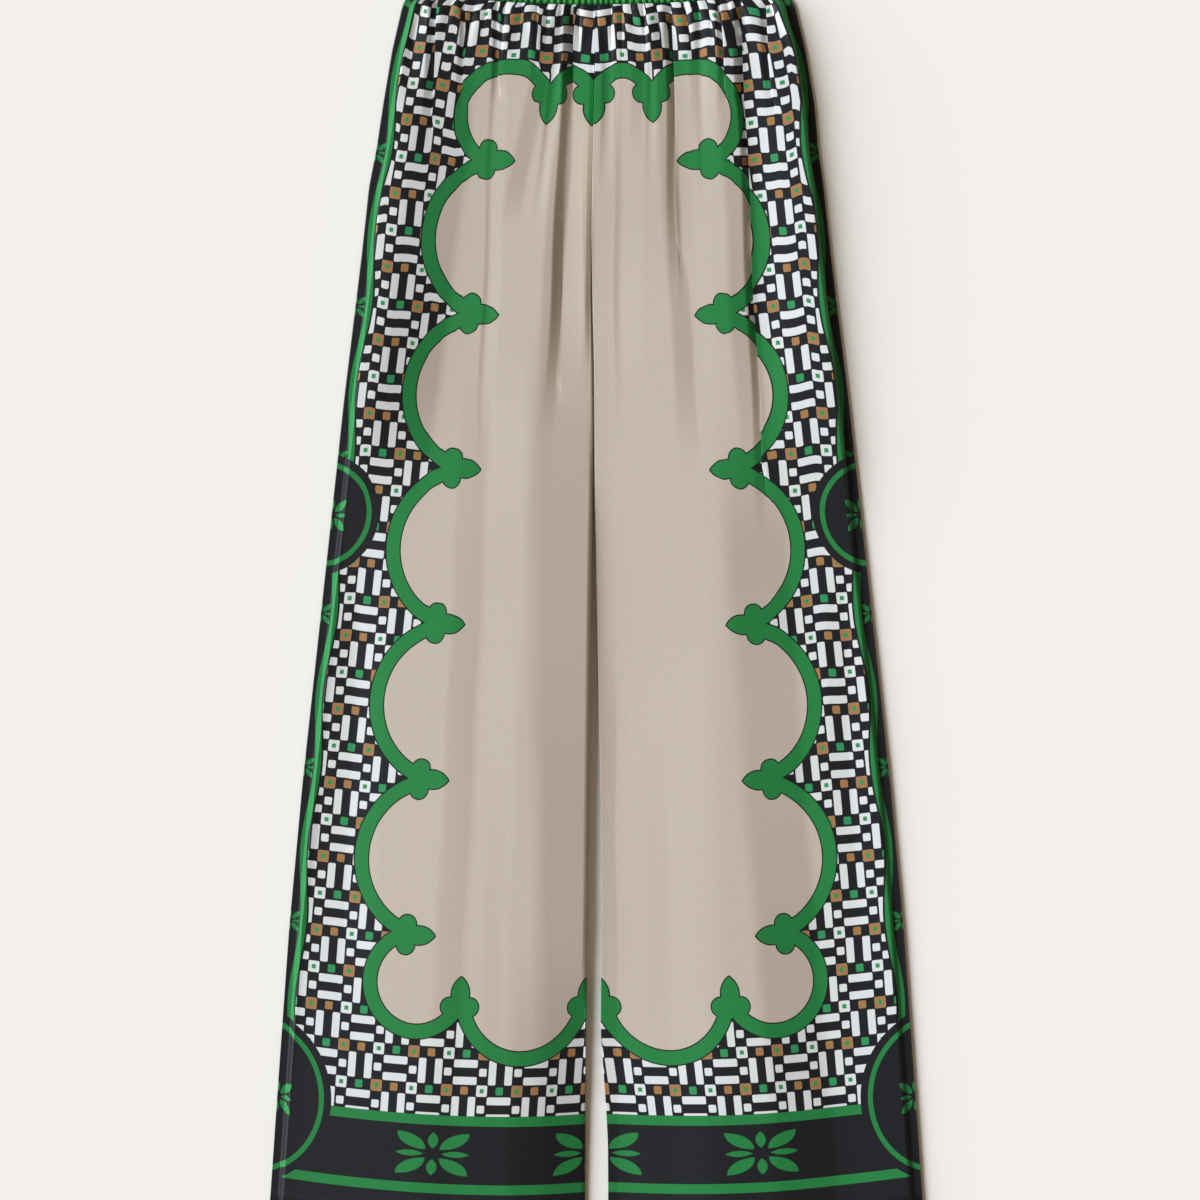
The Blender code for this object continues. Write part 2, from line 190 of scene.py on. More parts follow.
BAND_GATHERS = 60  # across its front
BAND_GATHER_DEPTH = 0.0016  # of the highest
BAND_GATHER_LOWEST = 0.6  # as a share of it
BAND_EDGE_GATHERS = 2.0  # they grow from nothing over this many at each end
GATHER_SPREAD = 0.14  # they stand aside from an even row, by about this share of their pitch
GATHER_WAVES = ((3, 1.0), (5, 0.6))  # in waves of which this many go across the front, each this strong
GATHER_PINCH = 1.3  # under 2 makes the valleys between gathers sharper than their ridges
BAND_CROWN = 0.0010  # its front bulges by this much, halfway down
BAND_HOLLOW = 0.0008  # between its front and its back
BAND_LEAN = 0.0012  # its ridges lean by this much, one way and the other

# How fast the gathers change from one to the next, in radians.
LENGTH_RATE = 2.3
HEIGHT_RATE = 1.7
PLACE_RATE = 0.9
DRAG_RATE = 1.9

# The cut: how wide each leg panel is at some distances down.
Cut = namedtuple("Cut", "down width")
CUT_WIDTHS = (Cut(0.035, 0.206), Cut(0.305, 0.224), Cut(0.700, 0.260), Cut(1.111, 0.289))

# --- the finer form of the cloth ------------------------------------------------------------------

SHARP = math.radians(50)  # an edge that turns by more, as a pleat's does, isn't smoothed
SHELL = 0.0005  # thickness of the cloth as it shows
SEAM_EDGE = 0.0068  # at a side seam, the cloth turns over the edge within this width
INNER_EDGES = {RIGHT_LEG: 0.0044, LEFT_LEG: 0.0012}  # and between the legs
CENTRE_EDGE = 0.0012  # and at the centre seam above
SIDE_LEVEL = 0.0030  # height at which front and back meet at a side seam
INNER_LEVELS = {RIGHT_LEG: 0.0085, LEFT_LEG: 0.0035}  # and between the legs
UNDER_TURN = 0.0120  # the back curves up to that height within this width
LEGS_PART = 0.33  # just below the crotch, the legs' inner edges begin to stand up
LEGS_PART_SPREAD = 0.20  # and over this length they reach their full height
HEM_SPREAD = 0.20  # over this length above the hem, they come down again
HEM_TURN = 0.0120  # width of the turned-up hem
HEM_STEP = 0.0004  # its double layer stands up by this much, over HEM_SLOPE
HEM_SLOPE = 0.0040
PANEL_COLUMNS = 366
PANEL_ROWS = 130
PLEAT_COLUMNS = 3  # across a pleat's side
COLUMN_CROWDING = 0.45  # 0 spaces the columns evenly, and 1 would crowd them wholly to the seams
ROW_CROWDING = 1.35  # over 1 crowds the rows towards the waist
BACK_COLUMNS = 48
BACK_ROWS = 100
BAND_COLUMNS_PER_GATHER = 14
BAND_ROWS = 14
BAND_BACK_COLUMNS = 120
BAND_TURN_COLUMNS = 8

STITCH_LENGTH = 0.0024
STITCH_PITCH = 0.0032
STITCH_RADIUS = 0.0002
STITCH_SIDES = 6
STITCH_RINGS = 4
STITCH_PATH_STEP = 2  # columns of the cloth from one point of their path to the next

# --- the print, in millimetres from the side seam, the waist seam and the hem ---------------------

MILLIMETRES = 1000  # in a metre
PRINT_LENGTH = 1060.0  # from the waist seam to the hem
STRIP_LINE = (9.5, 6.5)  # middle and width of the line that runs down the dark strip at the side seam
STRIP_WAVE = 3.0  # the line swings this far to each side
STRIP_MARGIN = 5.0  # of dark cloth beyond the line's middle
STRIP_ROSETTE = 12.0
HEM_BAND = 94.0  # height of the dark band
HEM_LINES = ((89.5, 8.5), (30.0, 8.5))  # their middles above the hem, and widths
HEM_ROSETTES = (60.0, 26.0, 144.5)  # height above the hem, half the height, distance apart
ROSETTE_STRETCH = 0.56  # under 1 makes them wider than high
LONG_LEAF = (0.60, 0.40, 0.17)  # of a rosette's size: to its middle, half its length, half its width
SHORT_LEAF = (0.45, 0.27, 0.10)
FRAME_BAND = 12.0  # width of the frame
OUTLINE = 1.1  # and of the dark line on each side of it

# The scalloped frame round each field. For each side of it: how deep its cusps lie, where the first
# stands and how far apart they are, how many arcs there are, and their radius.
Scallop = namedtuple("Scallop", "cusps first pitch arcs radius")
SIDE_SCALLOPS = Scallop(97.0, 140.0, 134.4, 5, 74.0)
HEM_SCALLOPS = Scallop(178.0, 160.0, 116.0, 1, 62.0)
WAIST_SCALLOPS = Scallop(70.0, 160.0, 51.7, 1, 30.0)
CORNER_ARC = (120.0, 101.0, 49.0)  # from the side seam, from the waist seam, radius
HEM_CORNER = 208.0  # height above the hem of the same arc there
CUSP_REACH = 17.0  # the band's points reach this far in from the cusps
CUSP_ROUND = 6.0  # and run into its arcs over about this width
LEAF = (15.0, 8.0)  # half the length and half the width of the leaf at each cusp
LEAF_START = 21.0  # its middle, from the cusp
LOBE = (10.0, 9.0, 8.0)  # of the two round lobes beside it: from the cusp, apart, radius

# Half medallions at the side seam: middle down from the waist seam, half the length, width.
MEDALLIONS = ((457.0, 52.0, 44.0), (966.0, 72.0, 50.0))
MEDALLION_RING = (9.0, 4.5)  # depth and width of its green line
MEDALLION_ROSETTE = 19.0

TILE_PITCH = 32.0
TILE_BAR = (10.8, 3.4)  # half the length and half the width of a bar
TILE_BAR_APART = 7.4  # from the middle of a block to the middle of its bars
TILE_SQUARE = 4.9  # half the width of a square where four blocks meet
TILE_SPOT = 1.9  # and of the green one on it
TILE_DOT = 3.4  # half the width of a square between two blocks
TILE_ROUND = 1.3  # radius of the corners

PRINT_SOFT = 0.35  # the ink's edge

# --- the cloth's finish ---------------------------------------------------------------------------

TWILL_PITCH = 0.7  # millimetres
TWILL_BUMP = 0.25
TWILL_HEIGHT = 0.00004  # metres
SILK_ROUGHNESS = 0.52
SILK_SHINE = 0.22
SHEEN = 0.06
SHEEN_ROUGHNESS = 0.4
DYE_UNEVEN = 0.12
DYE_SCALE = 0.8  # cells of noise for each millimetre across the cloth
DYE_DETAIL = 3.0
DYE_STRETCH = 0.2  # down the cloth, the noise changes at this share of its speed across it
THREAD_ROUGHNESS = 0.6
THREAD_TONES = (0.7, 1.3)  # its darkest and lightest, as shares of its colour
THREAD_SCALE = 900.0
FLOOR_SIZE = 12
FLOOR_LEVEL = -0.0002  # just under the cloth
FLOOR_ROUGHNESS = 0.9
FLOOR_SHINE = 0.1

# --- the photograph's frame -----------------------------------------------------------------------

PICTURE_PIXELS = 1200
METRES_PER_PIXEL = 0.000875
PICTURE_MIDDLE = (596.3, 587.0)  # the pixel over the frame's origin
CAMERA_HEIGHT = 3.4
SENSOR = 36.0  # millimetres

KEY_FROM = (-0.88, 0.12, 0.455)  # the direction that the light comes from
KEY_SOFTNESS = 60.0  # degrees that the light spreads over
KEY_POWER = 6.2
KEY_COLOUR = (0.955, 1.0, 1.02)
ROOM_COLOUR = (1.0, 0.75, 0.50)
ROOM_POWER = 0.265


def colour(red, green, blue):
    """A colour from its values on a screen, 0 to 255, by the sRGB curve."""
    shares = [value / 255 for value in (red, green, blue)]
    return tuple(((share + 0.055) / 1.055) ** 2.4 if share > 0.04045 else share / 12.92 for share in shares)


BEIGE = colour(186, 177, 166)
GREEN = colour(33, 124, 65)
TILE_GREEN = colour(46, 142, 90)
DARK = colour(22, 25, 31)
WHITE = colour(212, 217, 223)
TAN = colour(158, 116, 74)
LINE = colour(16, 20, 20)
BAND_GREEN = colour(30, 122, 50)
THREAD = colour(58, 58, 64)
FLOOR = colour(231, 230, 230)


# --- rules of the cut -----------------------------------------------------------------------------


def smooth(share):
    """0 to 1, level at both ends."""
    share = np.clip(share, 0.0, 1.0)
    return share * share * (3 - 2 * share)


def rounded(share):
    """0 to 1 as a quarter of a circle, steep at first."""
    return np.sqrt(1 - (1 - np.clip(share, 0.0, 1.0)) ** 2)


def read(table, column, down):
    return np.interp(down, [row.down for row in table], [getattr(row, column) for row in table])


def side_edge(leg, down):
    return read(SECTIONS, "middle", down) + leg * read(SECTIONS, "half_width", down)


def inner_edge(leg, down):
    return read(CENTRES, "across", down) + leg * read(CENTRES, "gap", down) / 2


def below_crotch(down):
    """0 down to just below the crotch, and then up to 1."""
    return smooth((down - LEGS_PART) / LEGS_PART_SPREAD)


def waist_dip(across):
    """How far the waist's curve lies below its ends."""
    half = read(SECTIONS, "half_width", BAND_HEIGHT)
    return WAIST_DIP * np.maximum(0.0, 1 - (across / half) ** 2)


def hem(share):
    """How far down the hem lies, at a share of the way in from its outer corner."""
    return HEM_SIDE + HEM_DROP * (1 - ((HEM_LOWEST - share) / HEM_LOWEST) ** 2)


def uneven(share, count):
    """The share again, with count gathers standing less evenly."""
    shift = sum(size * np.sin(waves * math.tau * share) for waves, size in GATHER_WAVES)
    return share + GATHER_SPREAD / count * shift * np.sin(math.pi * share)


def varied(number, rate, least):
    """Between least and 1, from one gather to the next."""
    return (1 + least) / 2 + (1 - least) / 2 * np.sin(rate * number)


def waving(fold, down, wave):
    """-1 to 1 down a fold, with another start for each fold."""
    return np.sin(wave.rate * down + wave.start * fold.across_start)


def wall(share, foot):
    """A fold's wall, from its edge at 0 to its middle at 1: an even slope between two curves."""
    share = np.clip(share, 0.0, 1.0)
    slope = 1 / (1 - (FOLD_TOP + foot) / 2)
    upper = slope * share**2 / (2 * FOLD_TOP)
    lower = 1 - slope * (1 - share) ** 2 / (2 * foot)
    between = slope * (share - FOLD_TOP / 2)
    return np.where(share < FOLD_TOP, upper, np.where(share > 1 - foot, lower, between))


def pleated(strength):
    """1 where a fold is strong enough to be a pleat, and down to 0 at its end."""
    return smooth(strength / PLEAT_FADE)


def fold_place(fold, across, down):
    """How far to the right of a fold's middle a place lies, and how much of the fold is there.

    The table gives a pleat by where its edge shows, so its middle lies to the right, under the edge.
    """
    along = np.clip((down - fold.start) / (fold.end - fold.start), 0.0, 1.0)
    middle = fold.across_start + (fold.across_end - fold.across_start) * along**FOLD_BEND
    middle = middle + FOLD_SWAY * waving(fold, down, SWAY_WAVE)
    strength = smooth((1 - along) / fold.fade)
    if fold.start > WAIST:
        strength = strength * smooth((down - fold.start) / FOLD_BEGIN)
    if fold.right < PLEAT_WIDTH:
        middle = middle + (PLEAT_LEAN - 1) * fold.right * pleated(strength)
    return across - middle, strength


def right_width(fold, strength):
    """Width of a fold's right side, which widens where a pleat opens."""
    if fold.right < PLEAT_WIDTH:
        return fold.right + PLEAT_OPEN * (1 - pleated(strength))
    return fold.right


def fold_depth(fold, across, down):
    """How far a fold lowers the front."""
    away, strength = fold_place(fold, across, down)
    width = np.where(away > 0, right_width(fold, strength), fold.left)
    depth = fold.depth * wall(1 - np.abs(away) / width, np.interp(width, *FOLD_FEET))
    return depth * strength * (1 + FOLD_SWELL * waving(fold, down, SWELL_WAVE))


def pleat_lean(leg, across, down):
    """How far the pleats' right sides lean over to the left, as the left leg does over the seam."""
    lean = np.zeros_like(across)
    if leg == LEFT_LEG:
        lean = INNER_LEAN * (1 - smooth((across - inner_edge(leg, down)) / PLEAT_REST))
    for fold in FOLDS:
        if fold.leg == leg and fold.right < PLEAT_WIDTH:
            away, strength = fold_place(fold, across, down)
            width = right_width(fold, strength)
            rest = 1 - smooth((away - width) / PLEAT_REST)
            rise = np.clip(away / width, 0.0, 1.0)
            lean = lean + PLEAT_LEAN * fold.right * rise * rest * pleated(strength)
    return lean


def followed(leg, share, down):
    """The share again, with some columns moved to where the cloth turns: at pleats and the inner edge."""
    columns = np.arange(share.shape[1])
    side, inner = side_edge(leg, down), inner_edge(leg, down)
    across = side * (1 - share) + inner * share
    turn = 1 - CENTRE_EDGE / np.abs(side - inner)[:, -1]
    marks, places = [0, columns[-PLEAT_COLUMNS], columns[-1]], [share[:, 0], turn, share[:, -1]]
    for fold in FOLDS:
        if fold.leg == leg and fold.right < PLEAT_WIDTH:
            away = fold_place(fold, across, down)[0] * -leg
            middle, edge = [
                [np.interp(-leg * distance, *row) for row in zip(away, share)]
                for distance in (0.0, fold.right)
            ]
            mark = round(np.interp(np.mean(middle), share[0], columns))
            marks += [mark, mark - leg * PLEAT_COLUMNS]
            places += [middle, edge]
    order = np.argsort(marks)
    marks, places = np.array(marks)[order], np.array(places)[order].T
    return np.stack([np.interp(row, row[marks], place) for row, place in zip(share, places)])


def pucker(share, below_seam):
    """Height of the small gathers, 0 to 1."""
    number = share * PUCKERS
    reach = PUCKER_LENGTH * varied(number, LENGTH_RATE, PUCKER_SHORTEST)
    ridge = np.abs(np.sin(math.pi * number + PUCKER_SHIFT * np.sin(PLACE_RATE * number))) ** PUCKER_CROWN
    return ridge * varied(number, HEIGHT_RATE, PUCKER_LOWEST) * smooth(1 - below_seam / reach)


def free_height(leg, share, across, down, below_seam):
    """How far the cloth stands up where neither the side seams nor the waist seam hold it down."""
    height = read(LOFTS, "right_leg" if leg == RIGHT_LEG else "left_leg", down)
    for fold in FOLDS + CREASES:
        if fold.leg == leg:
            height = height - fold_depth(fold, across, down)
    height = height + PUCKER_DEPTH * pucker(share, below_seam)
    return (height + np.hypot(height, FLOOR_ROUND)) / 2


def held_height(leg, free, across, down, below_seam):
    """The same with its seams. At the centre seam, the right leg's front is sunk under the left leg's."""
    from_side = np.abs(across - side_edge(leg, down))
    from_inner = np.abs(across - inner_edge(leg, down))
    height = free * smooth((from_side - SEAM_EDGE) / EDGE_ROLL)
    height = height * (WAIST_PINCH + (1 - WAIST_PINCH) * smooth(below_seam / WAIST_SPRING))
    if leg == RIGHT_LEG:
        height = height * (1 - read(CENTRES, "sunk", down) * (1 - smooth(from_inner / INNER_ROLL)))
    return height


# --- meshes ---------------------------------------------------------------------------------------


def grid_mesh(name, points, flat, closed=False):
    """A mesh through rows of points. flat gives each point's place in the flat cloth, as its UV."""
    rows, columns = points.shape[:2]
    corners = []
    for row in range(rows - 1):
        upper, lower = row * columns, (row + 1) * columns
        for column in range(columns - 1 + closed):
            after = (column + 1) % columns
            corners.append((upper + column, lower + column, lower + after, upper + after))
    mesh = bpy.data.meshes.new(name)
    mesh.from_pydata(points.reshape(-1, 3).tolist(), [], corners)
    place = flat.reshape(-1, 2)[np.array(corners).ravel()]
    layer = mesh.uv_layers.new(name="flat_cloth")
    layer.uv.foreach_set("vector", place.astype(np.float32).ravel())
    mesh.shade_smooth()
    mesh.set_sharp_from_angle(angle=SHARP)
    return mesh


def shown(name, mesh, material):
    """A piece of the pants from its mesh, carried by their one body."""
    piece = bpy.data.objects.new(name, mesh)
    bpy.context.scene.collection.objects.link(piece)
    mesh.materials.append(material)
    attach(piece, "root")
    return piece


def add_wall(piece, offset):
    """The cloth's thickness: on one side of the surface for an offset of -1, and on both for 0."""
    shell = piece.modifiers.new("Wall", "SOLIDIFY")
    shell.thickness = SHELL
    shell.offset = offset


class Panel:
    """One leg panel as a grid of points. Its place in the flat cloth follows the cloth's length."""

    def __init__(self, leg, columns, rows, follow_folds=False):
        self.leg = leg
        column = np.linspace(0, 1, columns + 1)
        column = column - COLUMN_CROWDING * np.sin(math.tau * column) / math.tau
        self.share, self.fraction = np.meshgrid(column, np.linspace(0, 1, rows + 1) ** ROW_CROWDING)
        self.place_rows()
        if follow_folds:
            self.share = followed(leg, self.share, self.down)
            self.place_rows()
        self.side, self.inner = side_edge(leg, self.down), inner_edge(leg, self.down)
        self.across = self.side * (1 - self.share) + self.inner * self.share
        self.free = np.zeros_like(self.across)
        self.up = np.zeros_like(self.across)
        self.lean = np.zeros_like(self.across)

    def place_rows(self):
        seam = BAND_HEIGHT + SEAM_GAP
        seam = seam + waist_dip(side_edge(self.leg, seam) * (1 - self.share))
        self.down = seam + (hem(self.share) - seam) * self.fraction
        self.below_seam = self.down - seam
        self.above_hem = hem(self.share) - self.down

    def edges(self, side_width, inner_width):
        """Distances to the side seam and to the other long edge, as shares of the widths given."""
        return np.abs(self.across - self.side) / side_width, np.abs(self.across - self.inner) / inner_width

    def seam_level(self):
        """Height at which front and back meet at the nearer long edge."""
        raised = below_crotch(self.down) * smooth(self.above_hem / HEM_SPREAD)
        inner = SIDE_LEVEL + (INNER_LEVELS[self.leg] - SIDE_LEVEL) * raised
        return np.where(self.share < 0.5, SIDE_LEVEL, inner)

    def points(self):
        return np.stack([self.across - self.lean, LENGTH / 2 - self.down, self.up], axis=-1)

    def flat(self):
        """Millimetres from the side seam along the cloth, and from the waist seam."""
        aside = np.zeros_like(self.across)
        aside[:, 1:] = np.cumsum(np.hypot(np.diff(self.across, axis=1), np.diff(self.free, axis=1)), axis=1)
        aside *= read(CUT_WIDTHS, "width", self.down) / aside[:, -1:]
        along = np.zeros_like(self.down)
        along[1:] = np.cumsum(np.hypot(np.diff(self.down, axis=0), np.diff(self.up, axis=0)), axis=0)
        spare = along[-1:] - PRINT_LENGTH / MILLIMETRES
        along -= spare * smooth(self.fraction)
        drag = np.sin(DRAG_RATE * PUCKERS * self.share) * smooth(1 - self.below_seam / PUCKER_DRAG_LENGTH)
        along += PUCKER_DRAG * drag
        return np.stack([aside, along], axis=-1) * MILLIMETRES


def front_panel(leg):
    """The front stands up in its folds, and its long edges come down to the back's."""
    panel = Panel(leg, PANEL_COLUMNS, PANEL_ROWS, follow_folds=True)
    panel.free = free_height(leg, panel.share, panel.across, panel.down, panel.below_seam)
    height = held_height(leg, panel.free, panel.across, panel.down, panel.below_seam)
    height = height + HEM_STEP * smooth((HEM_TURN - panel.above_hem) / HEM_SLOPE + 0.5)
    inner_width = CENTRE_EDGE + (INNER_EDGES[leg] - CENTRE_EDGE) * below_crotch(panel.down)
    side, inner = panel.edges(SEAM_EDGE, inner_width)
    inner = rounded(inner) if leg == RIGHT_LEG else np.clip(inner, 0.0, 1.0)
    over_edge = np.minimum(rounded(side), inner)
    top = 2 * CLOTH + SEAM_GAP + height
    panel.up = panel.seam_level() + (top - panel.seam_level()) * over_edge
    lean = pleat_lean(leg, panel.across, panel.down) + PUCKER_LEAN * pucker(panel.share, panel.below_seam)
    panel.lean = lean * over_edge
    return panel


def back_panel(leg):
    """The back lies flat, and its edges turn up to the front's."""
    panel = Panel(leg, BACK_COLUMNS, BACK_ROWS)
    turn = 1 - smooth(np.minimum(*panel.edges(UNDER_TURN, UNDER_TURN)))
    panel.up = SHELL + (panel.seam_level() - SHELL) * turn**2
    return panel


def panel_cloth(name, panel, material):
    """The cloth of one leg panel, in place of its solid."""
    mesh = grid_mesh(f"{name}_cloth", panel.points(), panel.flat())
    piece = shown(f"{name}_cloth", mesh, material)
    add_wall(piece, -1)
    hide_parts(name)
    return piece


# --- the waistband --------------------------------------------------------------------------------


def band_grid():
    """Rows of points once round the waistband: its front, a side, its back and the other side."""
    front_columns = BAND_GATHERS * BAND_COLUMNS_PER_GATHER
    number = np.linspace(0, BAND_GATHERS, front_columns + 1)
    share = uneven(number / BAND_GATHERS, BAND_GATHERS)
    edge = smooth(np.minimum(share, 1 - share) * BAND_GATHERS / BAND_EDGE_GATHERS)
    ridge = np.abs(np.sin(math.pi * number)) ** GATHER_PINCH
    ridge = ridge * varied(number, HEIGHT_RATE, BAND_GATHER_LOWEST)
    turn_angle = np.linspace(0, math.pi, BAND_TURN_COLUMNS + 2)[1:-1]
    back_share = np.linspace(1, -1, BAND_BACK_COLUMNS + 1)
    low = CLOTH / 2
    turn = (CLOTH + BAND_HOLLOW) / 2
    rows = []
    for row in range(BAND_ROWS + 1):
        down = BAND_HEIGHT * row / BAND_ROWS
        flat = read(SECTIONS, "half_width", down) - CLOTH / 2 - turn
        swell = math.sin(math.pi * row / BAND_ROWS)
        lean = BAND_LEAN * np.sin(PLACE_RATE * number) * (row / BAND_ROWS - 0.5)
        across = np.concatenate(
            [
                flat * (2 * share - 1) + lean * edge,
                flat + turn * np.sin(turn_angle),
                flat * back_share,
                -flat - turn * np.sin(turn_angle),
            ]
        )
        up = np.concatenate(
            [
                low + 2 * turn + (BAND_GATHER_DEPTH * ridge + BAND_CROWN * swell) * edge,
                low + turn + turn * np.cos(turn_angle),
                np.full(BAND_BACK_COLUMNS + 1, low),
                low + turn - turn * np.cos(turn_angle),
            ]
        )
        across = across + read(SECTIONS, "middle", down)
        rows.append(np.stack([across, LENGTH / 2 - down - waist_dip(across), up], axis=-1))
    return np.stack(rows)


def waistband(material):
    """The gathered ring, in place of its solid."""
    points = band_grid()
    around = np.hypot(*np.moveaxis(np.diff(points[..., [0, 2]], axis=1), -1, 0))
    flat = np.zeros(points.shape[:2] + (2,))
    flat[:, 1:, 0] = np.cumsum(around, axis=1) * MILLIMETRES
    flat[..., 1] = np.linspace(0, BAND_HEIGHT * MILLIMETRES, BAND_ROWS + 1)[:, None]
    mesh = grid_mesh("waistband_cloth", points, flat, closed=True)
    piece = shown("waistband_cloth", mesh, material)
    add_wall(piece, 0)
    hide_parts("waistband")
    return piece


# --- sewing ---------------------------------------------------------------------------------------


def stitch_row(name, path, thread):
    """Short stitches laid along a path of points on the cloth."""
    shape = bmesh.new()
    steps = np.linalg.norm(np.diff(path, axis=0), axis=1)
    along = np.concatenate([[0], np.cumsum(steps)])
    count = int(along[-1] / STITCH_PITCH)
    for number in range(count):
        start = (number + 0.5) * along[-1] / count - STITCH_LENGTH / 2
        ends = [
            Vector([np.interp(start + part, along, path[:, axis]) for axis in range(3)])
            for part in (0, STITCH_LENGTH)
        ]
        middle = (ends[0] + ends[1]) / 2
        turned = (ends[1] - ends[0]).to_track_quat("Z", "Y")
        made = bmesh.ops.create_uvsphere(shape, u_segments=STITCH_SIDES, v_segments=STITCH_RINGS, radius=1)
        for point in made["verts"]:
            size = Vector((STITCH_RADIUS, STITCH_RADIUS, STITCH_LENGTH / 2))
            point.co = middle + turned @ (point.co * size)
    mesh = bpy.data.meshes.new(name)
    shape.to_mesh(mesh)
    shape.free()
    mesh.shade_smooth()
    return shown(name, mesh, thread)


def hem_stitches(side, panel, thread):
    """One row along the upper edge of the turned-up hem."""
    path = []
    for column in range(0, panel.across.shape[1], STITCH_PATH_STEP):
        above = panel.above_hem[::-1, column]
        at = [
            np.interp(HEM_TURN, above, values[::-1, column])
            for values in (panel.across - panel.lean, LENGTH / 2 - panel.down, panel.up)
        ]
        path.append(at)
    path = np.array(path[1:-1])
    path[:, 2] += STITCH_RADIUS / 2
    return stitch_row(f"hem_stitches_{side}", path, thread)


# --- materials ------------------------------------------------------------------------------------


class Field:
    """A number that a shader works out at each point, written as arithmetic."""

    def __init__(self, socket):
        self.socket = socket

    def node(self, operation, *others):
        tree = self.socket.id_data
        made = tree.nodes.new("ShaderNodeMath")
        made.operation = operation
        for slot, value in zip(made.inputs, (self, *others)):
            if isinstance(value, Field):
                tree.links.new(value.socket, slot)
            else:
                slot.default_value = value
        return Field(made.outputs[0])

    def __add__(self, other):
        return self.node("ADD", other)

    def __sub__(self, other):
        return self.node("SUBTRACT", other)

    def __mul__(self, other):
        return self.node("MULTIPLY", other)

    def __neg__(self):
        return self.node("MULTIPLY", -1.0)

    def __abs__(self):
        return self.node("ABSOLUTE")

    __radd__ = __add__
    __rmul__ = __mul__


def larger(first, second):
    return first.node("MAXIMUM", second)


def smaller(first, second):
    return first.node("MINIMUM", second)


def length(first, second):
    return (first * first + second * second).node("SQRT")


def repeated(value, pitch, start=0.0):
    """Distance from the nearest of the places that lie a pitch apart, one of them at start."""
    return (value - start).node("WRAP", pitch / 2, -pitch / 2)


def every_other(value, pitch, start=0.0):
    """0 and 1 in turn, for the stretches between places that lie a pitch apart."""
    return ((value - start) * (1 / pitch)).node("FLOOR").node("MODULO", 2.0).node("ABSOLUTE")


def inside(depth):
    """1 where the depth is over 0, with the soft edge of ink on cloth."""
    made = (depth * (1 / PRINT_SOFT)).node("ADD", 0.5)
    made.socket.node.use_clamp = True
    return made


def box(x, y, half_length, half_width, corner):
    """Depth inside a box with round corners."""
    over_x = larger(abs(x) - (half_length - corner), 0.0)
    over_y = larger(abs(y) - (half_width - corner), 0.0)
    return -length(over_x, over_y) + corner


def leaf(along, aside, half_length, half_width):
    """Depth inside a leaf, pointed at both ends."""
    radius = (half_length**2 + half_width**2) / (2 * half_width)
    return -length(along, abs(aside) + (radius - half_width)) + radius


def stripe(value, middle, width):
    """Depth inside a stripe."""
    return -abs(value - middle) + width / 2


def rosette_leaf(along, aside, shares, size):
    middle, half_length, half_width = (share * size for share in shares)
    return leaf(along - middle, aside, half_length, half_width)


def rosette(x, y, size):
    """Depth inside eight leaves round a middle, long ones between short ones."""
    x, y = abs(x), abs(y)
    diagonal, off_diagonal = (x + y) * math.sqrt(0.5), (x - y) * math.sqrt(0.5)
    long_leaf = rosette_leaf(diagonal, off_diagonal, LONG_LEAF, size)
    short_leaf = rosette_leaf(larger(x, y), smaller(x, y), SHORT_LEAF, size)
    return larger(long_leaf, short_leaf)


def nearest(value, first, pitch, count):
    """Distance from the nearest of count places, the first of them at first, a pitch apart."""
    middle = value - first
    return larger(smaller(repeated(value, pitch, first), middle), middle - pitch * (count - 1))


def scallops(depth, aside, side):
    """Depth inside a row of arcs that bulge outwards. depth is measured from the cloth's edge."""
    rise = math.sqrt(side.radius**2 - (side.pitch / 2) ** 2)
    from_middle = nearest(aside, side.first + side.pitch / 2, side.pitch, side.arcs)
    return -length(depth - (side.cusps + rise), from_middle) + side.radius


def trefoils(depth, aside, side):
    """Depth inside the three lobes that stand at each cusp."""
    inwards = depth - side.cusps
    beside = abs(nearest(aside, side.first, side.pitch, side.arcs + 1))
    start, apart, radius = LOBE
    lobes = -length(inwards - start, beside - apart) + radius
    return larger(leaf(inwards - LEAF_START, beside, *LEAF), lobes)


def colour_mix(tree, blend="MIX"):
    made = tree.nodes.new("ShaderNodeMix")
    made.data_type = "RGBA"
    made.blend_type = blend
    return made


class Paint:
    """Layers of colour, each laid over those before it."""

    def __init__(self, tree, ground):
        self.tree = tree
        self.colour = ground

    def lay(self, mask, over):
        made = colour_mix(self.tree)
        self.tree.links.new(mask.socket, made.inputs["Factor"])
        self.fill(made.inputs["A"], self.colour)
        self.fill(made.inputs["B"], over)
        self.colour = made.outputs["Result"]

    def fill(self, slot, value):
        if isinstance(value, bpy.types.NodeSocket):
            self.tree.links.new(value, slot)
        else:
            slot.default_value = (*value, 1)[:4]


